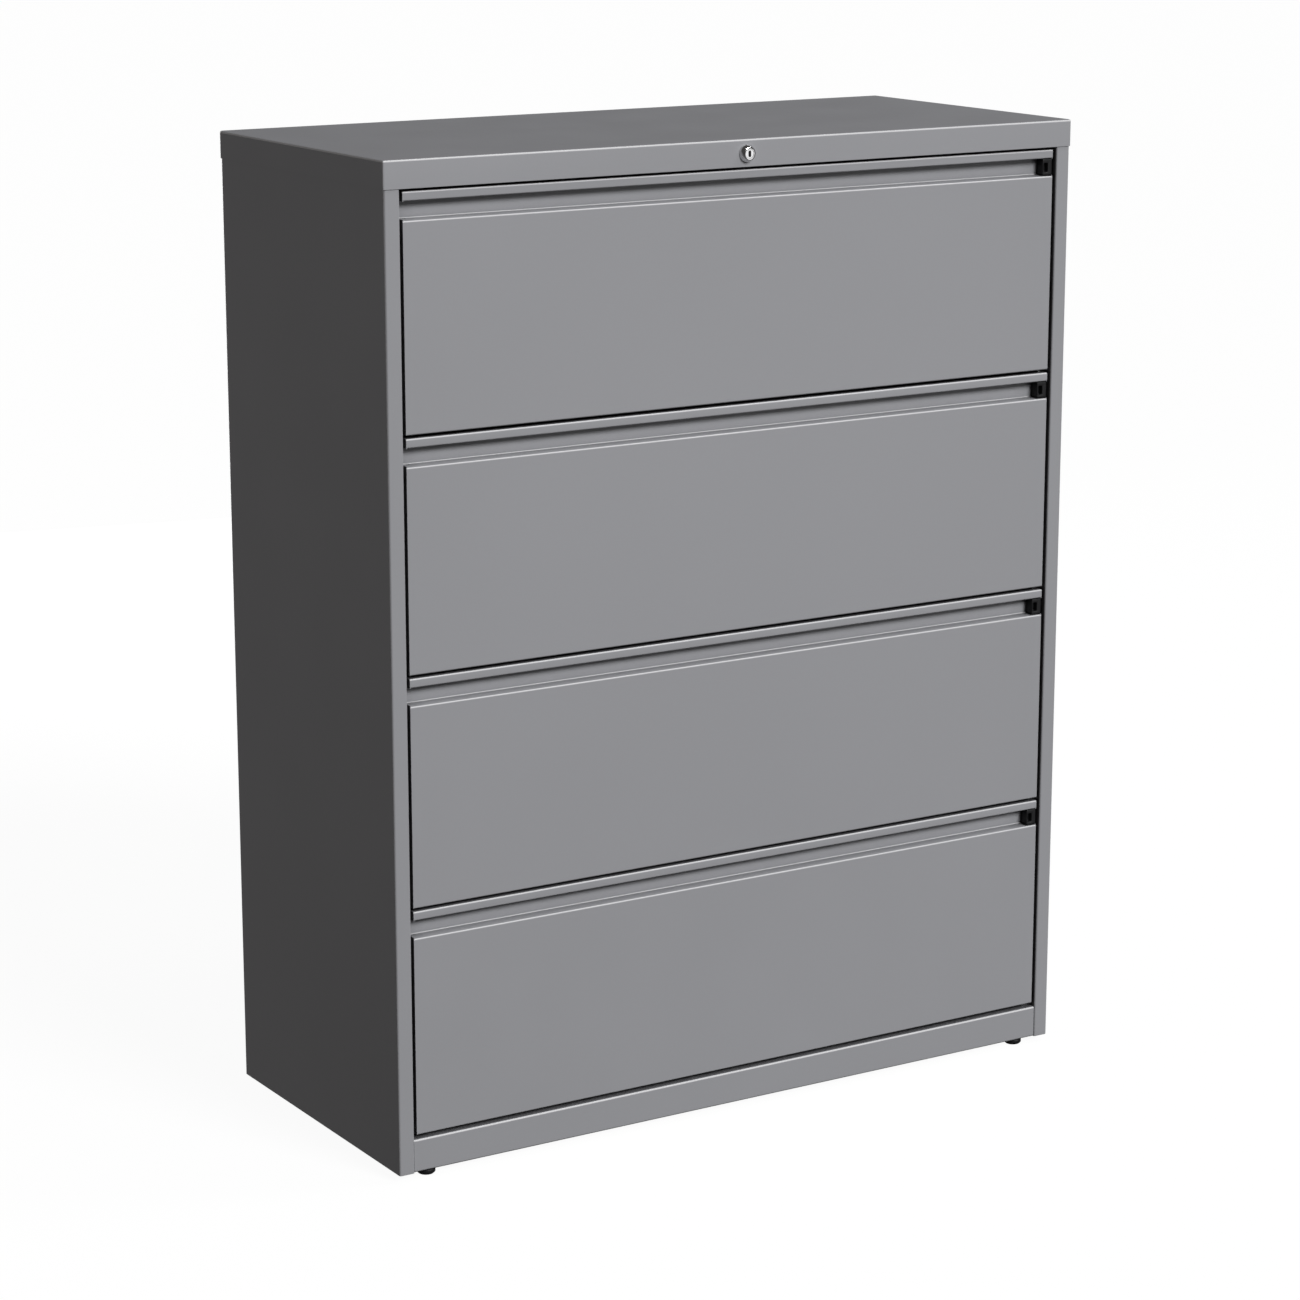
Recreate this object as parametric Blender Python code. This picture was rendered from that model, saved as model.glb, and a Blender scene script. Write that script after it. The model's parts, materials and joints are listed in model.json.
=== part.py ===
"""A four-drawer lateral filing cabinet, folded from sheet steel.

Metres, +Z up, the front faces -Y and the object's right is +X. The origin is at the middle of the
footprint, on the floor. Drawers are numbered from the top.
"""

import math

import bmesh
import bpy
from mathutils import Matrix, Vector

# ---- driving dimensions ------------------------------------------------------------------------
WIDTH = 1.0668
HEIGHT = 1.3335
DEPTH = 0.4725  # over the lock, which stands proud of the front
LOCK_PROUD = 0.0075
FOOT = 0.0096  # daylight under the case
SHEET = 0.0010
CLEARANCE = 0.0003  # between pieces that touch
EASE = 0.0002  # a surface held back from another so that joined pieces cross cleanly
BEND = 0.0020  # bend radius at the middle of a sheet
BEND_STEPS = 3
PAN_STEPS = 2

COVER_FLANGE = 0.0365
COVER_EDGE = 0.0028
HEM = 0.0090
POST_WIDTH = 0.0221
POST_RETURN = 0.0220
POST_FLANGE = 0.0120
REAR_FLANGE = 0.0160
RAIL_HEIGHT = 0.0452
RAIL_SETBACK = 0.0018
RAIL_SHELF = 0.0200
RAIL_FOOT = 0.0360
LOWER_RETURN = 0.0120  # the last fold of the rail, of a drawer front and of a file bar

DRAWERS = 4
DRAWER_PITCH = 0.3091
FRONT_HEIGHT = 0.3048
FRONT_HALF_WIDTH = 0.5050
FRONT_SETBACK = 0.0022  # behind the face of the posts
FIRST_LIP_TOP = HEIGHT - 0.0402
LIP_HEIGHT = 0.0120
PULL_HEIGHT = 0.0244
PULL_DEPTH = 0.0150
PULL_FLOOR_FALL = 0.0020
TOP_FLANGE = 0.0200
FRONT_RETURN = 0.0180
LATCH_END_GAP = 0.0010

TRAY_HALF_WIDTH = 0.4915
TRAY_DEPTH = 0.4030
TRAY_HEIGHT = 0.2620
TRAY_ABOVE_FRONT = 0.0135  # tray floor over the front's lower edge
TRAY_CORNER = 0.0020
FILE_BAR_FROM_FRONT = 0.3180  # the hook spacing of a letter-size hanging folder
FILE_BAR_WIDTH = 0.0140
FILE_BAR_SHEET = 0.0015

LATCH_WIDTH = 0.0159
LATCH_EDGE = 0.0008
LATCH_POCKET_X = (0.0013, 0.0093)  # both from its left side
LATCH_POCKET_Z = (0.0034, 0.0048)  # from its bottom and from its top
LATCH_POCKET_DEPTH = 0.0070

SLIDE_LENGTH = 0.4000
SLIDE_FROM_FACE = 0.0215
SLIDE_SHEET = 0.0012
SLIDE_BEND = 0.0014
SLIDE_ABOVE_TRAY_FLOOR = 0.1310

RACK_SHEET = 0.0012
RACK_BEND = 0.0018
RACK_INSET = 0.0050  # its face behind the inner edge of the post
RACK_TOP = 1.2955
RACK_GAP = 0.0024  # over the base pan
INTERLOCK_RADIUS = 0.0040

COUNTERWEIGHT_HALF = 0.4000
COUNTERWEIGHT_Y = (0.0600, 0.1960)
COUNTERWEIGHT_HEIGHT = 0.0180

GLIDE_RADIUS = 0.0125
GLIDE_STEM_RADIUS = 0.0040
GLIDE_STEM_TOP = 0.0400
GLIDE_X = 0.4840
GLIDE_FROM_EDGE = 0.0190

LOCK_BELOW_TOP = 0.0190
LOCK_BARREL_RADIUS = 0.0093
LOCK_RIM_RADIUS = 0.0117
LOCK_PLUG_RADIUS = 0.0058
LOCK_NUT_RADIUS = 0.0135
KEYWAY = (0.0016, 0.0100, 0.0041)  # half its width, its depth and half its height
CAM_RADIUS = 0.0080
CAM_PIN_RADIUS = 0.0018
CAM_REACH = 0.0052  # the end of its pin, behind its front face
LINK_TRAVEL = 0.0080

# ---- places that follow from them --------------------------------------------------------------
Y_COVER = -DEPTH / 2 + LOCK_PROUD
Y_BACK = DEPTH / 2
Y_POST = Y_COVER + SHEET + CLEARANCE
Y_DRAWER = Y_POST + FRONT_SETBACK
Y_RAIL = Y_POST + RAIL_SETBACK
BODY_HALF = WIDTH / 2 - SHEET - 0.0004
POST_INNER = BODY_HALF - POST_WIDTH
PANEL_TOP = HEIGHT - COVER_EDGE - 0.0004
REAR_FACE = Y_BACK - SHEET - CLEARANCE
RACK_FACE = POST_INNER - RACK_INSET
LOCK_Z = HEIGHT - LOCK_BELOW_TOP
SIDES = (("left", -1), ("right", 1))

Y_CAM = -0.1900
CAM_SHEET = 0.0020
Y_LINK = Y_CAM + CAM_SHEET + CLEARANCE + 0.0001
LINK_SHEET = 0.0020
LINK_Z = LOCK_Z - 0.0020
LINK_PIN_X = 0.5145
LINK_PIN_RADIUS = 0.0020
LINK_WINDOW_RADIUS = 0.0036
Y_BAR = -0.1830
BAR_SHEET = 0.0020
BAR_OUTER = 0.5280
BAR_BOTTOM = 0.0900
CHANNEL_FRONT = (-0.1985, -0.1650)
CHANNEL_REAR = (0.1500, 0.1900)
CHANNEL_FLOOR = BODY_HALF - 0.0030
PAN_WALL = 0.0250

STEEL_GREY = ("powder_coated_steel", (0.279, 0.283, 0.301), 0.42, 0.0)
ZINC = ("zinc_plated_steel", (0.62, 0.63, 0.64), 0.34, 1.0)
CHROME = ("chromed_brass", (0.80, 0.80, 0.81), 0.12, 1.0)
BLACK_PLASTIC = ("black_plastic", (0.018, 0.018, 0.019), 0.45, 0.0)
BARE_IRON = ("cast_iron", (0.09, 0.085, 0.08), 0.70, 0.6)


# ---- scene helpers -----------------------------------------------------------------------------
def clear_scene():
    for obj in list(bpy.data.objects):
        bpy.data.objects.remove(obj, do_unlink=True)


def material(finish):
    """The Principled material of this name, made the first time that it is asked for."""
    name, colour, roughness, metallic = finish
    if name in bpy.data.materials:
        return bpy.data.materials[name]
    made = bpy.data.materials.new(name)
    made.use_nodes = True
    shader = made.node_tree.nodes["Principled BSDF"]
    shader.inputs["Base Color"].default_value = (*colour, 1.0)
    shader.inputs["Roughness"].default_value = roughness
    shader.inputs["Metallic"].default_value = metallic
    made.diffuse_color = (*colour, 1.0)
    return made


def add_object(name, mesh, finish, parent=None, location=(0, 0, 0)):
    if not mesh.materials:
        mesh.materials.append(material(finish))
    mesh.shade_smooth()
    mesh.set_sharp_from_angle(angle=math.radians(35))
    obj = bpy.data.objects.new(name, mesh)
    bpy.context.scene.collection.objects.link(obj)
    obj.location = location
    obj.parent = parent
    return obj


def add_empty(name, location):
    empty = bpy.data.objects.new(name, None)
    bpy.context.scene.collection.objects.link(empty)
    empty.empty_display_size = 0.03
    empty.location = location
    return empty


def shaped(base, unions=(), cuts=()):
    """One mesh: the base with these meshes joined to it and then those cut from it."""
    helpers = [helper_object(base)]
    for operation, meshes in (("UNION", unions), ("DIFFERENCE", cuts)):
        for mesh in meshes:
            tool = helper_object(mesh)
            boolean = helpers[0].modifiers.new(operation, "BOOLEAN")
            boolean.operation = operation
            boolean.solver = "EXACT"
            boolean.object = tool
            helpers.append(tool)
    graph = bpy.context.evaluated_depsgraph_get()
    made = bpy.data.meshes.new_from_object(helpers[0].evaluated_get(graph))
    for helper in helpers:
        bpy.data.objects.remove(helper, do_unlink=True)
    return made


def helper_object(mesh):
    obj = bpy.data.objects.new("helper", mesh)
    bpy.context.scene.collection.objects.link(obj)
    obj.hide_render = True
    obj.display_type = "WIRE"
    return obj


def mesh_from(bm, name):
    bmesh.ops.remove_doubles(bm, verts=bm.verts, dist=1e-7)
    bmesh.ops.recalc_face_normals(bm, faces=bm.faces)
    mesh = bpy.data.meshes.new(name)
    bm.to_mesh(mesh)
    bm.free()
    return mesh


# ---- shape helpers -----------------------------------------------------------------------------
def filleted(path, radius, steps):
    """The 2-D path with each corner turned into an arc of this radius."""
    points = [Vector(path[0])]
    for before, corner, after in zip(path, path[1:], path[2:]):
        corner = Vector(corner)
        back = (Vector(before) - corner).normalized()
        ahead = (Vector(after) - corner).normalized()
        half = back.angle(ahead) / 2
        centre = corner + (back + ahead).normalized() * radius / math.sin(half)
        spoke = corner + back * radius / math.tan(half) - centre
        sweep = math.copysign(math.pi - 2 * half, ahead.cross(back))
        for step in range(steps + 1):
            points.append(centre + Matrix.Rotation(sweep * step / steps, 2) @ spoke)
    points.append(Vector(path[-1]))
    return points


def offset_pairs(points, thickness):
    """The two skins of a sheet whose middle follows the points."""
    pairs = []
    for index, point in enumerate(points):
        before = (point - points[index - 1]).normalized() if index else None
        after = (points[index + 1] - point).normalized() if index + 1 < len(points) else None
        along = ((before or after) + (after or before)).normalized()
        stretch = along.dot(after or before)
        normal = Vector((-along.y, along.x)) * thickness / 2 / stretch
        pairs.append((point + normal, point - normal))
    return pairs


def folded_sheet(path, along, start, end, thickness=SHEET, bend=BEND, steps=BEND_STEPS):
    """A sheet folded along a 2-D path and extruded along X, Y or Z from start to end.

    The path runs in (Y, Z) along X, in (X, Z) along Y and in (X, Y) along Z.
    """

    def place(point, distance):
        first, second = point
        return {
            "X": (distance, first, second),
            "Y": (first, distance, second),
            "Z": (first, second, distance),
        }[along]

    pairs = offset_pairs(filleted(path, bend, steps), thickness)
    bm = bmesh.new()
    faces = []
    for near, far in zip(pairs, pairs[1:]):
        corners = [bm.verts.new(place(point, start)) for point in (*near, *reversed(far))]
        faces.append(bm.faces.new(corners))
    bmesh.ops.remove_doubles(bm, verts=bm.verts, dist=1e-7)
    grown = bmesh.ops.extrude_face_region(bm, geom=list(bm.faces))
    moved = [item for item in grown["geom"] if isinstance(item, bmesh.types.BMVert)]
    bmesh.ops.translate(bm, verts=moved, vec=Vector(place((0, 0), end - start)))
    return mesh_from(bm, "sheet")


def block(low, high, bevel=0.0):
    """A box from its lowest corner to its highest, its edges bevelled if asked."""
    bm = bmesh.new()
    bmesh.ops.create_cube(bm, size=1.0)
    for vert in bm.verts:
        vert.co = [a if unit < 0 else b for unit, a, b in zip(vert.co, low, high)]
    if bevel:
        bmesh.ops.bevel(bm, geom=list(bm.edges), offset=bevel, segments=1, affect="EDGES", profile=0.5)
    return mesh_from(bm, "block")


def pan(low, high, opening, corner):
    """A sheet box that is open at its top (+1) or its bottom (-1), made inside the given corners."""
    bm = bmesh.new()
    bmesh.ops.create_cube(bm, size=1.0)
    for vert in bm.verts:
        vert.co = [a if unit < 0 else b for unit, a, b in zip(vert.co, low, high)]
    bm.normal_update()
    lid = [face for face in bm.faces if face.normal.z * opening > 0.5]
    bmesh.ops.delete(bm, geom=lid, context="FACES")
    folds = [edge for edge in bm.edges if not edge.is_boundary]
    bmesh.ops.bevel(bm, geom=folds, offset=corner, segments=PAN_STEPS, affect="EDGES", profile=0.5)
    skin = helper_object(mesh_from(bm, "pan"))
    wall = skin.modifiers.new("wall", "SOLIDIFY")
    wall.thickness = SHEET
    wall.offset = -1
    wall.use_even_offset = True
    graph = bpy.context.evaluated_depsgraph_get()
    made = bpy.data.meshes.new_from_object(skin.evaluated_get(graph))
    bpy.data.objects.remove(skin, do_unlink=True)
    return made


def turned(profile, steps, axis="Z", centre=(0, 0, 0)):
    """A solid of revolution. The profile holds (radius, height); heights run along +Z or +Y."""
    bm = bmesh.new()
    rim = [bm.verts.new((radius, 0, height)) for radius, height in profile]
    loop = list(zip(rim, rim[1:] + rim[:1]))
    if profile[0][0] == 0 and profile[-1][0] == 0:
        loop.pop()
    edges = [bm.edges.new(pair) for pair in loop]
    bmesh.ops.spin(
        bm, geom=rim + edges, cent=(0, 0, 0), axis=(0, 0, 1), angle=math.tau, steps=steps, use_merge=True
    )
    tilt = Matrix.Rotation(math.radians(-90), 4, "X") if axis == "Y" else Matrix.Identity(4)
    bmesh.ops.transform(bm, matrix=Matrix.Translation(centre) @ tilt, verts=bm.verts)
    return mesh_from(bm, "turned")


def rod(radius, start, end, steps, axis="Z", centre=(0, 0, 0)):
    return turned([(0, start), (radius, start), (radius, end), (0, end)], steps, axis, centre)


def slot(first, last, radius, low_y, high_y, steps=8):
    """A straight slot with round ends, between two (X, Z) centres, cut along Y."""
    first = Vector(first)
    last = Vector(last)
    aim = math.atan2(last.y - first.y, last.x - first.x)
    bm = bmesh.new()
    rim = []
    for centre, turn in ((last, aim - math.pi / 2), (first, aim + math.pi / 2)):
        for step in range(steps + 1):
            angle = turn + math.pi * step / steps
            point = centre + radius * Vector((math.cos(angle), math.sin(angle)))
            rim.append(bm.verts.new((point.x, low_y, point.y)))
    bm.faces.new(rim)
    grown = bmesh.ops.extrude_face_region(bm, geom=list(bm.faces))
    moved = [item for item in grown["geom"] if isinstance(item, bmesh.types.BMVert)]
    bmesh.ops.translate(bm, verts=moved, vec=(0, high_y - low_y, 0))
    return mesh_from(bm, "slot")


# ---- case --------------------------------------------------------------------------------------
def make_top_cover():
    shell = pan(
        (-WIDTH / 2, Y_COVER, HEIGHT - COVER_FLANGE),
        (WIDTH / 2, Y_BACK, HEIGHT),
        opening=-1,
        corner=COVER_EDGE,
    )
    hem_z = HEIGHT - COVER_FLANGE + CLEARANCE
    hem = block(
        (-POST_INNER, Y_COVER + SHEET / 2, hem_z),
        (POST_INNER, Y_COVER + HEM, hem_z + SHEET),
    )
    hole = rod(LOCK_BARREL_RADIUS + 2 * EASE, -0.004, 0.004, 32, "Y", (0, Y_COVER, LOCK_Z))
    add_object("top_cover", shaped(shell, [hem], [hole]), STEEL_GREY)


def side_panel_path(side):
    """Plan view of a side: rear flange, side, face of the post, its return and its inner flange."""
    half = SHEET / 2
    outer = BODY_HALF - half
    inner = POST_INNER + half
    front = Y_POST + half
    rear = REAR_FACE - half
    path = [
        (BODY_HALF - REAR_FLANGE, rear),
        (outer, rear),
        (outer, front),
        (inner, front),
        (inner, front + POST_RETURN),
        (inner + POST_FLANGE, front + POST_RETURN),
    ]
    return [(side * x, y) for x, y in path]


def rack_path(side):
    """Plan view of the upright that the slides hang on: a web with two grooved channels."""
    web = RACK_FACE + RACK_SHEET / 2
    front = Y_POST + SHEET + POST_RETURN + 2 * EASE + RACK_SHEET / 2
    rear = CHANNEL_REAR[1] + 0.0160
    path = [(CHANNEL_FLOOR - 0.0110, front), (web, front)]
    for near, far in (CHANNEL_FRONT, CHANNEL_REAR):
        path += [(web, near), (CHANNEL_FLOOR, near), (CHANNEL_FLOOR, far), (web, far)]
    path += [(web, rear), (CHANNEL_FLOOR, rear)]
    return [(side * x, y) for x, y in path]


def make_sides():
    for label, side in SIDES:
        panel = folded_sheet(side_panel_path(side), "Z", FOOT, PANEL_TOP)
        add_object(f"side_panel_{label}", panel, STEEL_GREY)


def make_racks():
    for label, side in SIDES:
        bottom = FOOT + PAN_WALL + RACK_GAP
        upright = folded_sheet(rack_path(side), "Z", bottom, RACK_TOP, RACK_SHEET, RACK_BEND, 2)
        add_object(f"slide_rack_{label}", upright, ZINC)


def make_back_panel():
    face = REAR_FACE - SHEET - CLEARANCE - SHEET / 2
    top = PANEL_TOP - SHEET / 2
    path = [(face - 0.0150, top), (face, top), (face, FOOT + CLEARANCE)]
    half = BODY_HALF - SHEET - 0.0025
    add_object("back_panel", folded_sheet(path, "X", -half, half), STEEL_GREY)


def make_base_rail():
    face = Y_RAIL + SHEET / 2
    top = FOOT + RAIL_HEIGHT - SHEET / 2
    bottom = FOOT + SHEET / 2
    path = [
        (face + RAIL_SHELF, top - RAIL_SHELF / 2),
        (face + RAIL_SHELF, top),
        (face, top),
        (face, bottom),
        (face + RAIL_FOOT, bottom),
        (face + RAIL_FOOT, bottom + LOWER_RETURN),
    ]
    half = POST_INNER - CLEARANCE
    rail = folded_sheet(path, "X", -half, half)
    holes = [stem_hole(side * GLIDE_X, Y_COVER + GLIDE_FROM_EDGE) for _, side in SIDES]
    add_object("base_rail", shaped(rail, cuts=holes), STEEL_GREY)


def stem_hole(x, y):
    return rod(GLIDE_STEM_RADIUS + 0.0006, FOOT - 0.002, FOOT + 0.003, 24, "Z", (x, y, 0))


def make_base_pan():
    front = Y_RAIL + RAIL_FOOT + 2 * SHEET
    rear = REAR_FACE - 0.0045
    half = BODY_HALF - SHEET - 0.0006
    floor = pan((-half, front, FOOT), (half, rear, FOOT + PAN_WALL), 1, TRAY_CORNER)
    holes = [stem_hole(side * GLIDE_X, Y_BACK - GLIDE_FROM_EDGE) for _, side in SIDES]
    add_object("base_pan", shaped(floor, cuts=holes), STEEL_GREY)


def make_counterweight():
    bottom = FOOT + SHEET + CLEARANCE
    near, far = COUNTERWEIGHT_Y
    low = (-COUNTERWEIGHT_HALF, near, bottom)
    high = (COUNTERWEIGHT_HALF, far, bottom + COUNTERWEIGHT_HEIGHT)
    slab = block(low, high, 0.0020)
    add_object("counterweight", slab, BARE_IRON)


def make_glides():
    foot = [
        (0, 0),
        (GLIDE_RADIUS - 0.0020, 0),
        (GLIDE_RADIUS, 0.0022),
        (GLIDE_RADIUS, FOOT - 0.0020),
        (GLIDE_RADIUS - 0.0010, FOOT - 0.0010),
        (GLIDE_STEM_RADIUS, FOOT - 0.0010),
        (GLIDE_STEM_RADIUS, GLIDE_STEM_TOP - 0.0008),
        (GLIDE_STEM_RADIUS - 0.0008, GLIDE_STEM_TOP),
        (0, GLIDE_STEM_TOP),
    ]
    mesh = turned(foot, 24)
    for end, y in (("front", Y_COVER + GLIDE_FROM_EDGE), ("rear", Y_BACK - GLIDE_FROM_EDGE)):
        for label, side in SIDES:
            add_object(f"glide_{end}_{label}", mesh, BLACK_PLASTIC, location=(side * GLIDE_X, y, 0))


def make_interlock_rod():
    middle = sum(CHANNEL_FRONT) / 2
    place = (-POST_INNER - 0.0090, middle, 0)
    shaft = rod(INTERLOCK_RADIUS, 0.0600, RACK_TOP - 0.0100, 12, "Z", place)
    add_object("interlock_rod", shaft, ZINC)


# ---- lock --------------------------------------------------------------------------------------
def make_lock():
    key_axis = add_empty("key_axis", (0, Y_COVER, LOCK_Z))
    bore = LOCK_PLUG_RADIUS + 2 * EASE
    body = [
        (bore, -LOCK_PROUD),
        (0.0080, -LOCK_PROUD),
        (0.0090, -LOCK_PROUD + 0.0006),
        (LOCK_RIM_RADIUS - 0.0005, -0.0022),
        (LOCK_RIM_RADIUS, -0.0012),
        (LOCK_RIM_RADIUS, -CLEARANCE),
        (LOCK_BARREL_RADIUS, -CLEARANCE),
        (LOCK_BARREL_RADIUS, 0.0340),
        (bore, 0.0340),
    ]
    add_object("lock_cylinder", turned(body, 32, "Y"), CHROME, key_axis)

    plug_front = -LOCK_PROUD + 0.0005
    plug_rear = Y_CAM - CLEARANCE - Y_COVER
    plug = rod(LOCK_PLUG_RADIUS, plug_front, plug_rear, 32, "Y")
    half, deep, tall = KEYWAY
    keyway = block((-half, plug_front - 0.002, -tall), (half, plug_front + deep, tall))
    add_object("lock_plug", shaped(plug, cuts=[keyway]), CHROME, key_axis)

    near = SHEET + CLEARANCE
    nut_bore = LOCK_BARREL_RADIUS + 2 * EASE
    nut = [(nut_bore, near), (LOCK_NUT_RADIUS, near), (LOCK_NUT_RADIUS, 0.0052), (nut_bore, 0.0052)]
    add_object("lock_nut", turned(nut, 30, "Y"), ZINC, key_axis)

    cam_front = Y_CAM - Y_COVER
    plate = slot((0, 0), (0, CAM_RADIUS), 0.0042, cam_front, cam_front + CAM_SHEET)
    centre = (0, 0, CAM_RADIUS)
    pin = rod(CAM_PIN_RADIUS, cam_front + CAM_SHEET / 2, cam_front + CAM_REACH, 16, "Y", centre)
    add_object("lock_cam", shaped(plate, [pin]), ZINC, key_axis)


def make_lock_link():
    """A flat bar that the cam slides to the right; its pin lifts the lock bar."""
    plate = block((-0.0100, Y_LINK, LOCK_Z - 0.0058), (0.0120, Y_LINK + LINK_SHEET, LOCK_Z + 0.0145))
    arm = block(
        (0.0060, Y_LINK + EASE / 2, LINK_Z - 0.0040),
        (LINK_PIN_X + 0.0060, Y_LINK + LINK_SHEET - EASE / 2, LINK_Z + 0.0040),
    )
    pin = rod(LINK_PIN_RADIUS, Y_LINK + LINK_SHEET / 2, Y_BAR + 0.0035, 16, "Y", (LINK_PIN_X, 0, LINK_Z))
    window = slot(
        (0, LOCK_Z + 0.0008),
        (0, LOCK_Z + CAM_RADIUS),
        LINK_WINDOW_RADIUS,
        Y_LINK - 0.002,
        Y_LINK + LINK_SHEET + 0.002,
    )
    add_object("lock_link", shaped(plate, [arm, pin], [window]), ZINC)


def make_lock_bar():
    """An upright plate beside the drawers, with one tab for each; a sloping slot lifts it."""
    rear = Y_BAR + BAR_SHEET
    head = block((0.5085, Y_BAR, RACK_TOP + 0.0020), (BAR_OUTER, rear, LINK_Z + 0.0052))
    low = (0.5110, Y_BAR + EASE / 2, BAR_BOTTOM)
    high = (BAR_OUTER - 0.0030, rear - EASE / 2, RACK_TOP + 0.0060)
    stem = block(low, high)
    tabs = []
    for number in range(DRAWERS):
        z = slide_height(number) + 0.0400
        tabs.append(block((0.5076, Y_BAR + EASE, z), (0.5180, rear - EASE, z + 0.0200)))
    incline = slot(
        (LINK_PIN_X, LINK_Z),
        (LINK_PIN_X + LINK_TRAVEL, LINK_Z - LINK_TRAVEL),
        LINK_PIN_RADIUS + 2 * EASE,
        Y_BAR - 0.002,
        rear + 0.002,
    )
    add_object("lock_bar", shaped(head, [stem, *tabs], [incline]), ZINC)


# ---- drawers, in a frame at the middle of the lip's top front edge ------------------------------
def front_path():
    """Side view of a drawer front in (Y, Z), from the flange behind its lip to its lower return."""
    half = SHEET / 2
    lip_bottom = -LIP_HEIGHT + half
    panel_top = -LIP_HEIGHT - PULL_HEIGHT - half
    bottom = -FRONT_HEIGHT + half
    wall = PULL_DEPTH + half
    return [
        (half + TOP_FLANGE - SHEET, -0.0080),
        (half + TOP_FLANGE - SHEET, -half),
        (half, -half),
        (half, lip_bottom),
        (wall, lip_bottom),
        (wall, panel_top + PULL_FLOOR_FALL),
        (half, panel_top),
        (half, bottom),
        (FRONT_RETURN - half, bottom),
        (FRONT_RETURN - half, bottom + LOWER_RETURN),
    ]


def front_mesh():
    """The folded sheet with a plate that closes each end, save at the pull, which runs right through."""
    sheet = folded_sheet(front_path(), "X", -FRONT_HALF_WIDTH, FRONT_HALF_WIDTH, bend=0.0016)
    ends = []
    mouths = []
    for _, side in SIDES:
        outer = side * (FRONT_HALF_WIDTH - EASE)
        inner = side * (FRONT_HALF_WIDTH - EASE - SHEET)
        low = (min(outer, inner), 2 * EASE, -FRONT_HEIGHT + 2 * EASE)
        high = (max(outer, inner), FRONT_RETURN - 2 * EASE, -2 * EASE)
        ends.append(block(low, high))
        cut = sorted((side * (FRONT_HALF_WIDTH - 0.0100), side * (FRONT_HALF_WIDTH + 0.0100)))
        low = (cut[0], -0.0050, -LIP_HEIGHT - PULL_HEIGHT + 0.0014)
        high = (cut[1], PULL_DEPTH - 2 * EASE, -LIP_HEIGHT - 2 * EASE)
        mouths.append(block(low, high))
    return shaped(sheet, ends, mouths)


def tray_mesh():
    front = FRONT_RETURN + 0.0005
    bottom = -FRONT_HEIGHT + TRAY_ABOVE_FRONT
    return pan(
        (-TRAY_HALF_WIDTH, front, bottom),
        (TRAY_HALF_WIDTH, front + TRAY_DEPTH, bottom + TRAY_HEIGHT),
        opening=1,
        corner=TRAY_CORNER,
    )


def file_bar_mesh():
    """A strip across the tray, dropped between its side walls and hooked over both."""
    top = -FRONT_HEIGHT + TRAY_ABOVE_FRONT + TRAY_HEIGHT
    start = FRONT_RETURN + FILE_BAR_FROM_FRONT
    over = top + CLEARANCE + FILE_BAR_SHEET / 2
    outside = TRAY_HALF_WIDTH + CLEARANCE + FILE_BAR_SHEET / 2 + EASE
    inside = TRAY_HALF_WIDTH - SHEET - CLEARANCE - FILE_BAR_SHEET / 2 - EASE
    half = [(outside, top - LOWER_RETURN), (outside, over), (inside, over), (inside, top - 0.0070)]
    path = half + [(-x, z) for x, z in reversed(half)]
    return folded_sheet(path, "Y", start, start + FILE_BAR_WIDTH, FILE_BAR_SHEET, 0.0011, 2)


def latch_mesh():
    """The thumb latch at the right end of the pull: a block with a finger pocket in its face."""
    low = Vector((-LATCH_WIDTH, 0.0008, -LIP_HEIGHT - PULL_HEIGHT + 0.0018))
    high = Vector((0, PULL_DEPTH - LATCH_END_GAP, -LIP_HEIGHT - 0.0008))
    body = block(low, high, LATCH_EDGE)
    near, far = LATCH_POCKET_X
    under, over = LATCH_POCKET_Z
    pocket = block(
        (low.x + near, low.y - 0.0050, low.z + under),
        (low.x + far, low.y + LATCH_POCKET_DEPTH, high.z - over),
    )
    return shaped(body, cuts=[pocket])


def slide_meshes(side):
    """The three nested channels of one slide, in a frame at its web's front end, on its centre line."""
    half = SLIDE_SHEET / 2
    outer_web = RACK_FACE - CLEARANCE - half
    middle_web = outer_web - 0.0036
    inner_web = TRAY_HALF_WIDTH + CLEARANCE + half
    sections = {
        "outer": (outer_web, outer_web - 0.0095, 0.0222),
        "middle": (middle_web, middle_web - 0.0058, 0.0199),
        "inner": (inner_web, inner_web + 0.0061, 0.0166),
    }
    made = {}
    for part, (web, lip, rise) in sections.items():
        path = [(lip, rise), (web, rise), (web, -rise), (lip, -rise)]
        path = [(side * x, z) for x, z in path]
        made[part] = folded_sheet(path, "Y", 0, SLIDE_LENGTH, SLIDE_SHEET, SLIDE_BEND, 2)
    return made


def lip_height(number):
    return FIRST_LIP_TOP - number * DRAWER_PITCH


def slide_height(number):
    return lip_height(number) - FRONT_HEIGHT + TRAY_ABOVE_FRONT + SLIDE_ABOVE_TRAY_FLOOR


def make_drawers():
    front = front_mesh()
    tray = tray_mesh()
    file_bar = file_bar_mesh()
    latch = latch_mesh()
    slides = {label: slide_meshes(side) for label, side in SIDES}
    for number in range(DRAWERS):
        name = f"drawer_{number + 1}"
        origin = add_empty(f"{name}_origin", (0, Y_DRAWER, lip_height(number)))
        add_object(f"{name}_front", front, STEEL_GREY, origin)
        add_object(f"{name}_tray", tray, STEEL_GREY, origin)
        add_object(f"{name}_file_bar", file_bar, ZINC, origin)
        latch_place = (FRONT_HALF_WIDTH - CLEARANCE, 0, 0)
        add_object(f"{name}_latch", latch, BLACK_PLASTIC, origin, latch_place)
        place = (0, SLIDE_FROM_FACE, slide_height(number) - lip_height(number))
        for label, parts in slides.items():
            for part, mesh in parts.items():
                add_object(f"slide_{number + 1}_{label}_{part}", mesh, ZINC, origin, place)


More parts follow.
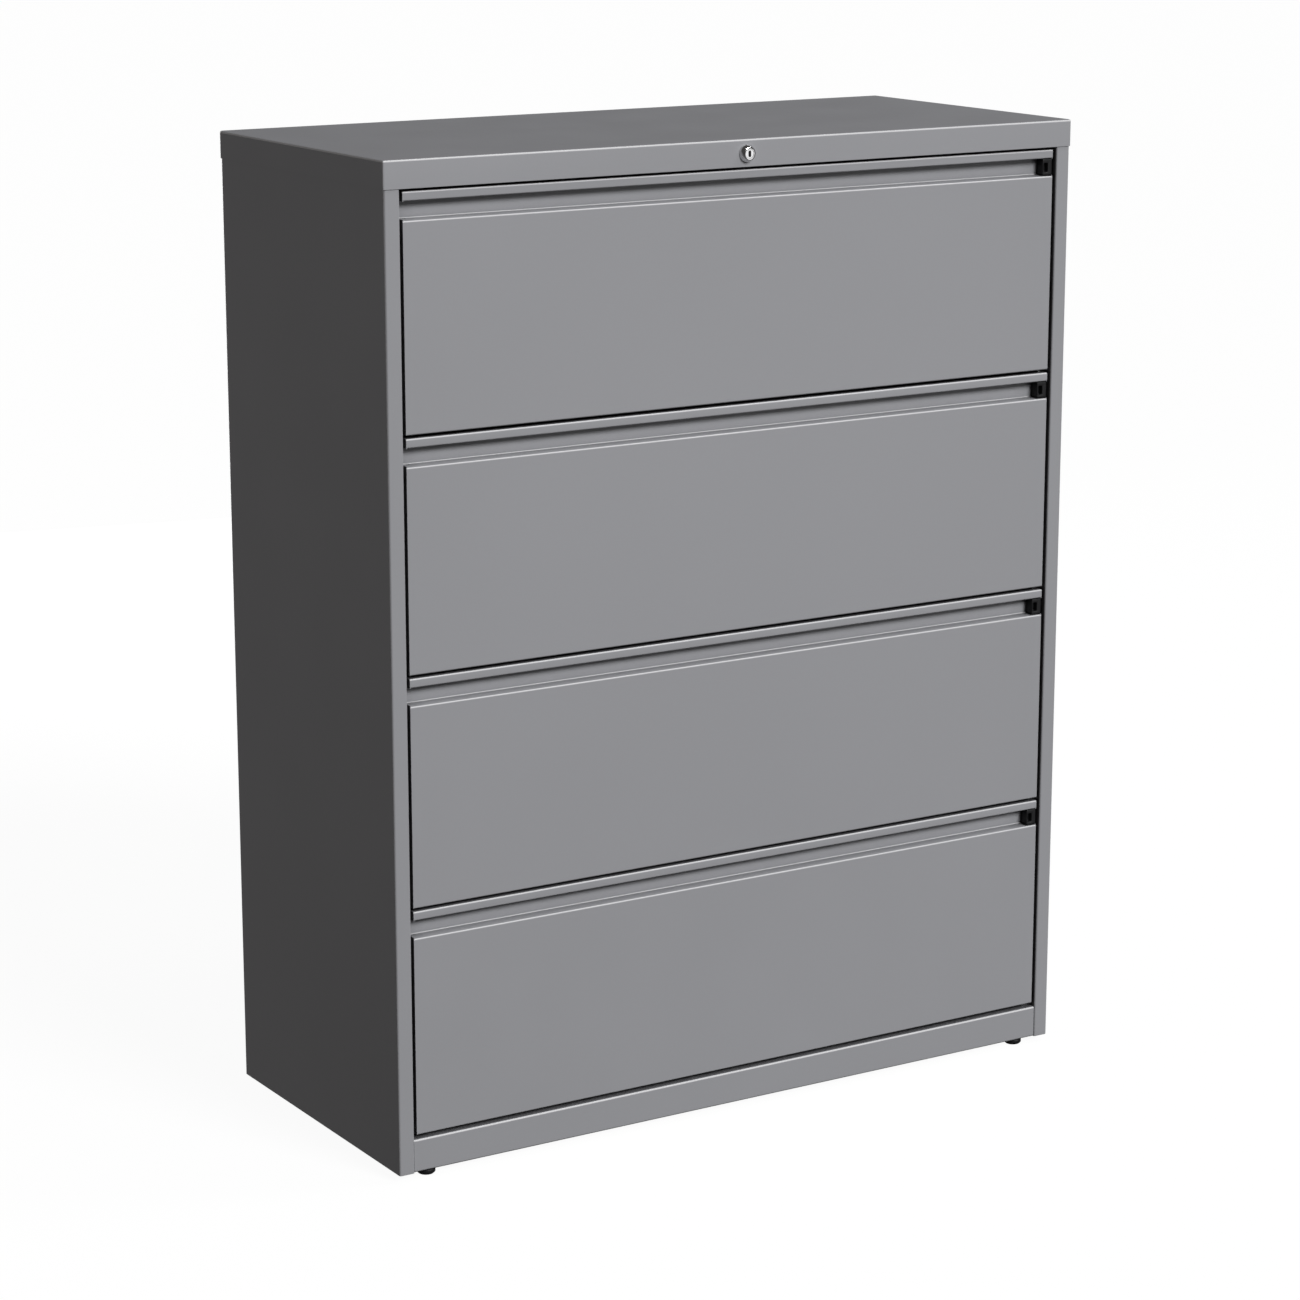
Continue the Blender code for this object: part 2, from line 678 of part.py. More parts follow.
def main():
    clear_scene()
    make_top_cover()
    make_sides()
    make_racks()
    make_back_panel()
    make_base_rail()
    make_base_pan()
    make_counterweight()
    make_glides()
    make_interlock_rod()
    make_lock()
    make_lock_link()
    make_lock_bar()
    make_drawers()


main()
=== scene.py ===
"""The looks of the four-drawer lateral filing cabinet: materials, small pieces, studio and camera.

Metres, in the CAD model's frame: the front faces -Y, +X is the object's right, the floor is Z = 0.
"""

import json
import math

import bmesh
import bpy
from mathutils import Matrix, Vector


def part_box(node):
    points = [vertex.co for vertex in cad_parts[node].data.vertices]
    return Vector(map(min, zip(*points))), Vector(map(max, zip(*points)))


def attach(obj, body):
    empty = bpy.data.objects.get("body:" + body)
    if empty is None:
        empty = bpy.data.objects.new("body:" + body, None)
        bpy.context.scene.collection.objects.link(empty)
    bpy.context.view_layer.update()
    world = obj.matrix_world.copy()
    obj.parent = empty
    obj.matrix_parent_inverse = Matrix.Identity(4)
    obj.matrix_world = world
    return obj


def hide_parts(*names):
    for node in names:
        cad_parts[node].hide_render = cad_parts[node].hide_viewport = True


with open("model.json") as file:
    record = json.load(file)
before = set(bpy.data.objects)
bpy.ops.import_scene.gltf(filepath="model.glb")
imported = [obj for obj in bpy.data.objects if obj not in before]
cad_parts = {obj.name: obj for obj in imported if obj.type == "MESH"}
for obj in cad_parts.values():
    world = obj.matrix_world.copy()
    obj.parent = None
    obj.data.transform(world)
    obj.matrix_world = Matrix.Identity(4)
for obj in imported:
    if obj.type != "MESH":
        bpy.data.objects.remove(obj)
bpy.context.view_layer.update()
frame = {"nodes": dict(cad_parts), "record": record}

NODES = frame["nodes"]
SLOT_OF = {entry["node"]: entry["material_slot"] for entry in frame["record"]["subparts"]}
DRAWERS = (1, 2, 3, 4)
SIDES = (("left", -1), ("right", 1))
SMOOTH_ANGLE = math.radians(40)
# How far the walls of a gap reach for the painted shade that darkens it.
GAP_SHADE_REACH = 0.030


# ---- materials ---------------------------------------------------------------------------------
class Surface:
    """A node material under construction: object coordinates, a Principled shader and its links."""

    def __init__(self, name, **inputs):
        self.material = bpy.data.materials.new(name)
        self.material.use_nodes = True
        self.tree = self.material.node_tree
        self.shader = self.tree.nodes["Principled BSDF"]
        self.place = self.tree.nodes.new("ShaderNodeTexCoord").outputs["Object"]
        for socket, value in inputs.items():
            self.shader.inputs[socket.replace("_", " ")].default_value = value

    def link(self, source, socket):
        self.tree.links.new(source, self.shader.inputs[socket])

    def node(self, kind, inputs=(), **settings):
        made = self.tree.nodes.new(kind)
        for key, value in settings.items():
            setattr(made, key, value)
        for socket, value in dict(inputs).items():
            if isinstance(value, bpy.types.NodeSocket):
                self.tree.links.new(value, made.inputs[socket])
            else:
                made.inputs[socket].default_value = value
        return made

    def stretched(self, scale):
        """Object coordinates scaled per axis, for grain that runs one way."""
        return self.node("ShaderNodeMapping", {"Vector": self.place, "Scale": scale}).outputs["Vector"]

    def noise(self, scale, detail=2.0, roughness=0.5, vector=None):
        """A noise from 0 to 1, with more waves in a metre as the scale grows."""
        inputs = {"Vector": vector or self.place, "Scale": scale}
        inputs.update({"Detail": detail, "Roughness": roughness})
        return self.node("ShaderNodeTexNoise", inputs).outputs["Fac"]

    def ramp(self, factor, low, high, start=0.35, end=0.65):
        """A number that runs from low to high while the factor runs from start to end."""
        inputs = {0: factor, 1: start, 2: end, 3: low, 4: high}
        return self.node("ShaderNodeMapRange", inputs).outputs["Result"]

    def blend(self, factor, first, second):
        """The colour that runs from first to second, each of them a colour or a socket."""
        inputs = {"Factor": factor}
        for end, colour in (("A", first), ("B", second)):
            inputs[end] = colour if isinstance(colour, bpy.types.NodeSocket) else (*colour, 1.0)
        return self.node("ShaderNodeMix", inputs, data_type="RGBA").outputs["Result"]

    def gap_shade(self, reach, start, end):
        """A mask for painted shade: from 0 deep in a gap narrower than the reach to 1 in the open."""
        made = self.node("ShaderNodeAmbientOcclusion", {"Distance": reach}, samples=4)
        return self.ramp(made.outputs["AO"], 0.0, 1.0, start, end)

    def upward_bend(self):
        """0 on level and upright faces, up to 0.25 on a bend between the two that faces up: the mask
        of a painted highlight.
        """
        normal = self.node("ShaderNodeNewGeometry").outputs["True Normal"]
        rise = self.node("ShaderNodeSeparateXYZ", {"Vector": normal}).outputs["Z"]
        rest = self.node("ShaderNodeMath", {0: 1.0, 1: rise}, operation="SUBTRACT").outputs["Value"]
        return self.node("ShaderNodeMath", {0: rise, 1: rest}, operation="MULTIPLY").outputs["Value"]

    def bump(self, height, distance, strength=1.0, under=None):
        inputs = {"Height": height, "Distance": distance, "Strength": strength}
        if under:
            inputs["Normal"] = under
        return self.node("ShaderNodeBump", inputs).outputs["Normal"]


def powder_coat(name, painted_gap_shade):
    """Mid-grey powder coat: orange peel, faint mica, a painted highlight on bends that face up, and
    maybe painted shade in gaps and crevices.
    """
    s = Surface(name, Metallic=0.0)
    cloud = s.ramp(s.noise(2.2, 3.0), 0.0, 1.0, 0.3, 0.7)
    tone = s.blend(cloud, (0.270, 0.272, 0.287), (0.278, 0.280, 0.296))
    mica = s.ramp(s.noise(2600.0, 1.0), 0.0, 0.35, 0.62, 0.74)
    coat = s.blend(mica, tone, (0.36, 0.37, 0.39))
    # Painted highlight: bends that face up are lightened towards pale grey, where the light would
    # catch them.
    bend_highlight = s.ramp(s.upward_bend(), 0.0, 0.8, 0.10, 0.22)
    coat = s.blend(bend_highlight, coat, (0.62, 0.62, 0.63))
    # Painted shade: the coat turns near black deep in gaps and crevices, where shade falls.
    if painted_gap_shade:
        coat = s.blend(s.gap_shade(GAP_SHADE_REACH, 0.16, 0.46), (0.010, 0.010, 0.011), coat)
    s.link(coat, "Base Color")
    s.link(s.ramp(s.noise(9.0, 4.0), 0.36, 0.41), "Roughness")
    peel = s.bump(s.noise(620.0, 2.0), 0.00004, 0.55)
    s.link(s.bump(s.noise(90.0, 1.0), 0.00010, 0.15, peel), "Normal")
    return s.material


def zinc_plate():
    """Bright zinc on rolled steel: streaks along the slides' run and a mottled bloom."""
    s = Surface("zinc", Metallic=1.0)
    grain = s.noise(1.0, 4.0, 0.65, s.stretched((900.0, 14.0, 900.0)))
    bloom = s.noise(38.0, 5.0, 0.6)
    tone = s.blend(s.ramp(bloom, 0.0, 1.0), (0.50, 0.51, 0.52), (0.66, 0.67, 0.68))
    s.link(tone, "Base Color")
    s.link(s.ramp(grain, 0.24, 0.44), "Roughness")
    s.link(s.bump(grain, 0.00003, 0.35), "Normal")
    return s.material


def chrome_plate():
    """Polished chrome with faint haze and handling scratches."""
    s = Surface("chrome", Metallic=1.0)
    haze = s.noise(220.0, 3.0)
    scratch = s.noise(1.0, 2.0, 0.7, s.stretched((2500.0, 2500.0, 260.0)))
    s.link(s.blend(s.ramp(haze, 0.0, 1.0), (0.72, 0.72, 0.73), (0.82, 0.82, 0.83)), "Base Color")
    s.link(s.ramp(haze, 0.10, 0.20), "Roughness")
    s.link(s.bump(scratch, 0.00001, 0.25), "Normal")
    return s.material


def black_plastic():
    """Moulded black nylon with a fine spark-eroded grain."""
    s = Surface("black_plastic", Metallic=0.0, Specular_IOR_Level=0.25)
    grain = s.noise(1500.0, 2.0)
    s.link(s.blend(s.noise(60.0), (0.008, 0.008, 0.009), (0.014, 0.014, 0.015)), "Base Color")
    s.link(s.ramp(grain, 0.38, 0.56), "Roughness")
    s.link(s.bump(grain, 0.00005, 0.5), "Normal")
    return s.material


def cast_iron():
    """A raw iron casting with a sandy skin."""
    s = Surface("iron", Metallic=0.7)
    sand = s.noise(420.0, 6.0, 0.7)
    s.link(s.blend(s.noise(16.0, 4.0), (0.060, 0.055, 0.050), (0.125, 0.110, 0.098)), "Base Color")
    s.link(s.ramp(sand, 0.62, 0.86), "Roughness")
    s.link(s.bump(sand, 0.0004, 0.8), "Normal")
    return s.material


MATERIALS = {
    "case_paint": powder_coat("case_paint", painted_gap_shade=True),
    "zinc": zinc_plate(),
    "chrome": chrome_plate(),
    "black_plastic": black_plastic(),
    "iron": cast_iron(),
}
# The trays leave the case's shadow, so their coat is the same without the painted shade in its gaps
# and crevices.
TRAY_PAINT = powder_coat("tray_paint", painted_gap_shade=False)


# ---- shading of the CAD nodes ------------------------------------------------------------------
MERGE_DISTANCE = 1e-6
FACE_AREA_WEIGHT = 90


def shade_group():
    """Geometry nodes that join split vertices and shade smooth all but the sharp edges."""
    group = bpy.data.node_groups.new("shade_by_angle", "GeometryNodeTree")
    group.interface.new_socket("Geometry", in_out="INPUT", socket_type="NodeSocketGeometry")
    group.interface.new_socket("Geometry", in_out="OUTPUT", socket_type="NodeSocketGeometry")
    add = group.nodes.new
    start = add("NodeGroupInput")
    merge = add("GeometryNodeMergeByDistance")
    merge.inputs["Distance"].default_value = MERGE_DISTANCE
    smooth = add("GeometryNodeSetShadeSmooth")
    angle = add("GeometryNodeInputMeshEdgeAngle")
    sharp = add("FunctionNodeCompare")
    sharp.data_type = "FLOAT"
    sharp.operation = "GREATER_THAN"
    sharp.inputs["B"].default_value = SMOOTH_ANGLE
    crease = add("GeometryNodeSetShadeSmooth")
    crease.domain = "EDGE"
    crease.inputs["Shade Smooth"].default_value = False
    end = add("NodeGroupOutput")
    links = (
        (start.outputs[0], merge.inputs["Geometry"]),
        (merge.outputs["Geometry"], smooth.inputs["Geometry"]),
        (smooth.outputs["Geometry"], crease.inputs["Geometry"]),
        (angle.outputs["Unsigned Angle"], sharp.inputs["A"]),
        (sharp.outputs["Result"], crease.inputs["Selection"]),
        (crease.outputs["Geometry"], end.inputs[0]),
    )
    for source, target in links:
        group.links.new(source, target)
    return group


SHADE_GROUP = shade_group()


def shade(obj):
    """Even highlights: bends are shaded round, and flat faces keep their own normals."""
    if "custom_normal" in obj.data.attributes:
        obj.data.attributes.remove(obj.data.attributes["custom_normal"])
    by_angle = obj.modifiers.new("shade_by_angle", "NODES")
    by_angle.node_group = SHADE_GROUP
    weighted = obj.modifiers.new("weighted_normals", "WEIGHTED_NORMAL")
    weighted.weight = FACE_AREA_WEIGHT
    weighted.keep_sharp = True


def finish_cad_nodes():
    for name, obj in NODES.items():
        obj.data.materials.clear()
        obj.data.materials.append(TRAY_PAINT if name.endswith("_tray") else MATERIALS[SLOT_OF[name]])
        shade(obj)


# ---- mesh helpers ------------------------------------------------------------------------------
def piece(name, bm, body, slot, replaces=(), material=None):
    """Turns the mesh into a finished piece in the CAD frame, riding on a body."""
    bmesh.ops.recalc_face_normals(bm, faces=bm.faces)
    mesh = bpy.data.meshes.new(name)
    bm.to_mesh(mesh)
    bm.free()
    mesh.shade_smooth()
    mesh.set_sharp_from_angle(angle=SMOOTH_ANGLE)
    mesh.materials.append(material or MATERIALS[slot])
    obj = bpy.data.objects.new(name, mesh)
    bpy.context.scene.collection.objects.link(obj)
    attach(obj, body)
    if replaces:
        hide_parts(*replaces)


def aimed(centre, axis):
    """The matrix that puts the Z axis on this axis, at this centre."""
    turn = Vector(axis).to_track_quat("Z", "Y").to_matrix().to_4x4()
    return Matrix.Translation(centre) @ turn


def join_rings(bm, rings):
    """Adds faces between rings of one size. A ring of a single vertex is a tip."""
    for ring, after in zip(rings, rings[1:]):
        count = max(len(ring), len(after))
        for index in range(count):
            following = (index + 1) % count
            corners = (
                ring[index % len(ring)],
                ring[following % len(ring)],
                after[following % len(after)],
                after[index % len(after)],
            )
            bm.faces.new(dict.fromkeys(corners))


def lathe(bm, profile, place, steps=24):
    """Adds a solid of revolution whose profile of (radius, height) runs from axis to axis."""
    rings = []
    for radius, height in profile:
        if radius == 0:
            rings.append([bm.verts.new(place @ Vector((0, 0, height)))])
            continue
        ring = []
        for step in range(steps):
            angle = math.tau * step / steps
            point = Vector((radius * math.cos(angle), radius * math.sin(angle), height))
            ring.append(bm.verts.new(place @ point))
        rings.append(ring)
    join_rings(bm, rings)


def rounded(low_u, high_u, low_v, high_v, radius, steps=4):
    """The corner points of a rectangle with round corners, in order."""
    points = []
    centres = (
        (high_u - radius, high_v - radius),
        (low_u + radius, high_v - radius),
        (low_u + radius, low_v + radius),
        (high_u - radius, low_v + radius),
    )
    for quarter, (centre_u, centre_v) in enumerate(centres):
        for step in range(steps + 1):
            angle = math.pi / 2 * (quarter + step / steps)
            points.append((centre_u + radius * math.cos(angle), centre_v + radius * math.sin(angle)))
    return points


def loft(bm, sections, place):
    """Adds a closed body through (points, height) sections with equal numbers of points."""
    rings = [[bm.verts.new(place(u, v, height)) for u, v in points] for points, height in sections]
    join_rings(bm, rings)
    bm.faces.new(rings[0])
    bm.faces.new(rings[-1])


# ---- pieces ------------------------------------------------------------------------------------
# The latch: its rounding, its corners, and its finger pocket's place, corners and depth. The
# pocket's sides are measured from the latch's left side, and its ends from the foot and the top.
LATCH_EDGE = 0.0010
LATCH_EDGE_STEPS = 4
LATCH_BACK_EDGE = 0.0003
LATCH_CORNER = 0.0014
POCKET_X = (0.0013, 0.0093)
POCKET_Z = (0.0034, 0.0048)
POCKET_CORNER = 0.0016
LATCH_POCKET_DEPTH = 0.0066
# The draft of the pocket's walls, as insets at depths from its mouth, then from its floor.
POCKET_MOUTH = ((0.0, 0.0), (0.0002, 0.0001), (0.0004, 0.0004))
POCKET_FLOOR = ((0.0007, 0.0010), (0.0010, 0.0003), (0.0016, 0.0))
# Grip ribs on the pocket's floor: how many, where, and their half widths at each rise, with ends
# that are rounded by nearly the whole half width.
RIBS = 3
RIB_X = 0.0033
RIB_PITCH = 0.0020
RIB_Z = (0.0055, 0.0069)
RIB_HALF = 0.0005
RIB_SECTION = ((RIB_HALF, -0.0004), (RIB_HALF, 0.0006), (0.00035, 0.0009), (0.0001, 0.0010))
RIB_ROUND = 0.99


def latch_sections(low, high):
    """A latch from its back to the floor of its finger pocket, in (x, z) loops at depths along Y."""

    def outer(inset):
        return rounded(low.x + inset, high.x - inset, low.z + inset, high.z - inset, LATCH_CORNER)

    def pocket(inset):
        left, right = low.x + POCKET_X[0] + inset, low.x + POCKET_X[1] - inset
        bottom, top = low.z + POCKET_Z[0] + inset, high.z - POCKET_Z[1] - inset
        return rounded(left, right, bottom, top, POCKET_CORNER)

    sections = [(outer(LATCH_BACK_EDGE), high.y), (outer(0.0), high.y - LATCH_BACK_EDGE)]
    for step in range(LATCH_EDGE_STEPS + 1):
        angle = math.pi / 2 * step / LATCH_EDGE_STEPS
        inset, depth = LATCH_EDGE * (1 - math.cos(angle)), LATCH_EDGE * (1 - math.sin(angle))
        sections.append((outer(inset), low.y + depth))
    sections += [(pocket(inset), low.y + depth) for inset, depth in POCKET_MOUTH]
    sections += [(pocket(inset), low.y + LATCH_POCKET_DEPTH - up) for inset, up in POCKET_FLOOR]
    return sections


def make_latch(number):
    """The thumb latch: a moulded block with a finger pocket and grip ribs on its floor."""
    node = f"drawer_{number}_latch"
    low, high = (Vector(corner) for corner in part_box(node))
    bm = bmesh.new()
    loft(bm, latch_sections(low, high), lambda u, v, y: (u, y, v))
    floor = low.y + LATCH_POCKET_DEPTH
    bottom, top = low.z + RIB_Z[0] + RIB_HALF, high.z - RIB_Z[1] - RIB_HALF
    for rib in range(RIBS):
        x = low.x + RIB_X + RIB_PITCH * rib
        sections = []
        for half, rise in RIB_SECTION:
            loop = rounded(x - half, x + half, bottom - half, top + half, half * RIB_ROUND, steps=2)
            sections.append((loop, floor - rise))
        loft(bm, sections, lambda u, v, y: (u, y, v))
    piece(f"thumb_latch_{number}", bm, f"latch_{number}", "black_plastic", [node])


# A black lining of the keyway, which also stands in for the shade inside the keyhole.
# The insert from its back, over its rim, to its slot's floor: half its width, half its height, and
# the depth behind the plug's face.
KEYWAY_SHADE_INSERT = (
    (0.00150, 0.0039, 0.0060),
    (0.00150, 0.0039, -0.00003),
    (0.00205, 0.0044, -0.00005),
    (0.00205, 0.0044, -0.00012),
    (0.00190, 0.0042, -0.00020),
    (0.00110, 0.0034, -0.00020),
    (0.00095, 0.0033, 0.00120),
)
# Its corners, as a share of half its width.
INSERT_ROUND = 0.95


def make_keyway_shade_insert():
    """The black plastic insert that lines the keyway, with the key's slot in its face; a dark piece
    that also stands in for the shade inside the keyhole.
    """
    low, high = (Vector(corner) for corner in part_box("lock_plug"))
    centre_x, centre_z = (low.x + high.x) / 2, (low.z + high.z) / 2
    bm = bmesh.new()
    sections = []
    for half, tall, depth in KEYWAY_SHADE_INSERT:
        left, right = centre_x - half, centre_x + half
        loop = rounded(left, right, centre_z - tall, centre_z + tall, half * INSERT_ROUND)
        sections.append((loop, low.y + depth))
    loft(bm, sections, lambda u, v, y: (u, y, v))
    piece("keyway_shade_insert", bm, "key", "black_plastic")


FLUTES = 30
FLUTE_DEPTH = 0.00035
STEPS_IN_A_FLUTE = 4
# The glide's foot from the floor up: how far in from its rim, height, and 1 where it is fluted.
FOOT = (
    (0.0032, 0.0, 0),
    (0.0024, 0.0003, 0),
    (0.0006, 0.0020, 0),
    (0.0001, 0.0027, 1),
    (0.0001, 0.0066, 1),
    (0.0006, 0.0074, 0),
    (0.0016, 0.0080, 0),
)
FOOT_TOP = (0.0052, 0.0084)
# Its stem: the plain part's radius and foot, then where the thread starts, the radii of its crest
# and root, and its pitch, and at last the tip's radius and the height of its chamfer.
STEM_RADIUS = 0.0038
STEM_START = 0.0080
THREAD_START = 0.0090
THREAD_RADIUS = 0.0039
THREAD_ROOT = 0.0034
THREAD_PITCH = 0.00125
STEM_TIP = (0.0028, 0.0006)


def make_glide(end, side):
    """A levelling glide: a fluted foot with a tapered sole, on a threaded stem."""
    node = f"glide_{end}_{side}"
    low, high = (Vector(corner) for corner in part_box(node))
    centre = Vector(((low.x + high.x) / 2, (low.y + high.y) / 2, low.z))
    radius = (high.x - low.x) / 2
    steps = FLUTES * STEPS_IN_A_FLUTE
    foot = [(radius - inset, height, fluted) for inset, height, fluted in FOOT]
    foot.append((*FOOT_TOP, 0))
    bm = bmesh.new()
    rings = [[bm.verts.new(centre)]]
    for ring_radius, height, fluted in foot:
        ring = []
        for step in range(steps):
            angle = math.tau * step / steps
            dip = fluted * FLUTE_DEPTH * (1 - math.cos(FLUTES * angle)) / 2
            spoke = Vector((math.cos(angle), math.sin(angle), 0)) * (ring_radius - dip)
            ring.append(bm.verts.new(centre + spoke + Vector((0, 0, height))))
        rings.append(ring)
    rings.append([bm.verts.new(centre + Vector((0, 0, FOOT_TOP[1])))])
    join_rings(bm, rings)

    stem = [(0.0, STEM_START), (STEM_RADIUS, STEM_START)]
    height = THREAD_START
    while height < high.z - 2 * THREAD_PITCH:
        stem += [(THREAD_RADIUS, height), (THREAD_ROOT, height + THREAD_PITCH / 2)]
        height += THREAD_PITCH
    tip_radius, tip_height = STEM_TIP
    stem += [(THREAD_ROOT, high.z - tip_height), (tip_radius, high.z), (0.0, high.z)]
    lathe(bm, stem, Matrix.Translation(centre))
    piece(f"levelling_glide_{end}_{side}", bm, node, "black_plastic", [node])


# A rivet's domed head, from its top to its buried base: radius and height above the sheet.
RIVET = (
    (0.0, 0.00115),
    (0.0010, 0.00112),
    (0.0021, 0.00092),
    (0.0029, 0.00052),
    (0.0032, 0.0),
    (0.0032, -0.0005),
    (0.0, -0.0005),
)
RIVET_STEPS = 20
# The back panel's rivets: how many down each side, how far in from its edge, how far up the lowest
# one is, and the height that the row leaves free at both ends together.
BACK_RIVETS = 6
BACK_RIVET_INSET = 0.0080
BACK_RIVET_FOOT = 0.060
BACK_RIVET_MARGIN = 0.160


def add_rivet(bm, centre, axis):
    lathe(bm, RIVET, aimed(centre, axis), RIVET_STEPS)


def make_back_rivets():
    """Rivets down the rear flanges of the sides, which hold the back panel."""
    for side, sign in SIDES:
        low, high = (Vector(corner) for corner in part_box(f"side_panel_{side}"))
        x = sign * (abs(low.x if sign < 0 else high.x) - BACK_RIVET_INSET)
        span = high.z - low.z - BACK_RIVET_MARGIN
        bm = bmesh.new()
        for row in range(BACK_RIVETS):
            z = low.z + BACK_RIVET_FOOT + row * span / (BACK_RIVETS - 1)
            add_rivet(bm, (x, high.y, z), (0, 1, 0))
        piece(f"back_rivets_{side}", bm, "cabinet", "case_paint")


TRAY_SHEET = 0.0010
# Beads pressed up in the tray's floor: spacing, half width, end margin, corners, and insets by rise.
BEAD_COLUMNS = (-1.5, -0.5, 0.5, 1.5)
BEAD_PITCH = 0.2400
BEAD_HALF = 0.0075
BEAD_MARGIN = 0.045
BEAD_CORNER = 0.0072
BEAD_SECTION = ((0.0, -0.0004), (0.0, 0.0), (0.0012, 0.0007), (0.0028, 0.0012), (0.0046, 0.0014))
# Where the slide's rivets sit along the tray, from its front, and the last one from its back.
SLIDE_RIVETS = (0.030, 0.150, 0.270)
LAST_SLIDE_RIVET = 0.030


def make_tray_details(number):
    """Pressed beads on the tray's floor and the rivets that hold the slides to its walls."""
    body = f"drawer_{number}"
    low, high = (Vector(corner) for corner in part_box(f"{body}_tray"))
    bm = bmesh.new()
    for column in BEAD_COLUMNS:
        x = column * BEAD_PITCH
        sections = []
        for inset, rise in BEAD_SECTION:
            half = BEAD_HALF - inset
            front, rear = low.y + BEAD_MARGIN + inset, high.y - BEAD_MARGIN - inset
            loop = rounded(x - half, x + half, front, rear, BEAD_CORNER - inset, steps=6)
            sections.append((loop, low.z + TRAY_SHEET + rise))
        loft(bm, sections, lambda u, v, z: (u, v, z))
    piece(f"tray_beads_{number}", bm, body, "case_paint", material=TRAY_PAINT)

    slide_low, slide_high = (Vector(corner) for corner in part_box(f"slide_{number}_left_inner"))
    z = (slide_low.z + slide_high.z) / 2
    bm = bmesh.new()
    rows = [low.y + place for place in SLIDE_RIVETS] + [high.y - LAST_SLIDE_RIVET]
    for x, axis in ((low.x + TRAY_SHEET, (1, 0, 0)), (high.x - TRAY_SHEET, (-1, 0, 0))):
        for y in rows:
            add_rivet(bm, (x, y, z), axis)
    piece(f"slide_rivets_{number}", bm, body, "zinc")


def make_pieces():
    for number in DRAWERS:
        make_latch(number)
        make_tray_details(number)
    for end in ("front", "rear"):
        for side, _ in SIDES:
            make_glide(end, side)
    make_back_rivets()
    make_keyway_shade_insert()


# ---- studio ------------------------------------------------------------------------------------
FLOOR_RADIUS = 60.0
FLOOR_GLOW = 1.03
FLOOR_MATTE_SHARE = 0.08
FLOOR_GREY = 0.80
BACKDROP_RADIUS = 70.0
BACKDROP_GLOW = 1.015


def stage_material(name, glow_strength, matte_share=0.0):
    """A white glow that keeps a surface even, with a share of matte paint that takes shadows."""
    material = bpy.data.materials.new(name)
    material.use_nodes = True
    tree = material.node_tree
    tree.nodes.clear()
    glow = tree.nodes.new("ShaderNodeEmission")
    glow.inputs["Color"].default_value = (1.0, 1.0, 1.0, 1.0)
    glow.inputs["Strength"].default_value = glow_strength
    surface = glow
    if matte_share:
        matte = tree.nodes.new("ShaderNodeBsdfDiffuse")
        matte.inputs["Color"].default_value = (FLOOR_GREY, FLOOR_GREY, FLOOR_GREY, 1.0)
        surface = tree.nodes.new("ShaderNodeMixShader")
        surface.inputs[0].default_value = matte_share
        tree.links.new(glow.outputs[0], surface.inputs[1])
        tree.links.new(matte.outputs[0], surface.inputs[2])
    out = tree.nodes.new("ShaderNodeOutputMaterial")
    tree.links.new(surface.outputs[0], out.inputs["Surface"])
    return material


def stage_object(name, bm, material):
    """A part of the studio that the camera sees and that sends no light onto the cabinet."""
    mesh = bpy.data.meshes.new(name)
    bm.to_mesh(mesh)
    bm.free()
    mesh.materials.append(material)
    obj = bpy.data.objects.new(name, mesh)
    bpy.context.scene.collection.objects.link(obj)
    obj.visible_diffuse = False
    obj.visible_glossy = False
    return obj


def make_stage():
    bm = bmesh.new()
    bmesh.ops.create_circle(bm, cap_ends=True, segments=96, radius=FLOOR_RADIUS)
    stage_object("floor", bm, stage_material("floor", FLOOR_GLOW, FLOOR_MATTE_SHARE))

    bm = bmesh.new()
    bmesh.ops.create_icosphere(bm, subdivisions=5, radius=BACKDROP_RADIUS)
    bmesh.ops.reverse_faces(bm, faces=bm.faces)
    backdrop = stage_object("backdrop", bm, stage_material("backdrop", BACKDROP_GLOW))
    backdrop.visible_shadow = False


def soft_light(name, place, target, size, power, colour=(1.0, 1.0, 1.0)):
    """A rectangular lamp that faces its target and isn't seen itself."""
    light = bpy.data.lights.new(name, "AREA")
    light.shape = "RECTANGLE"
    light.size, light.size_y = size
    light.energy = power
    light.color = colour
    obj = bpy.data.objects.new(name, light)
    bpy.context.scene.collection.objects.link(obj)
    obj.location = place
    obj.visible_camera = False
    aim = Vector(target) - Vector(place)
    obj.rotation_mode = "QUATERNION"
    obj.rotation_quaternion = aim.to_track_quat("-Z", "Y")


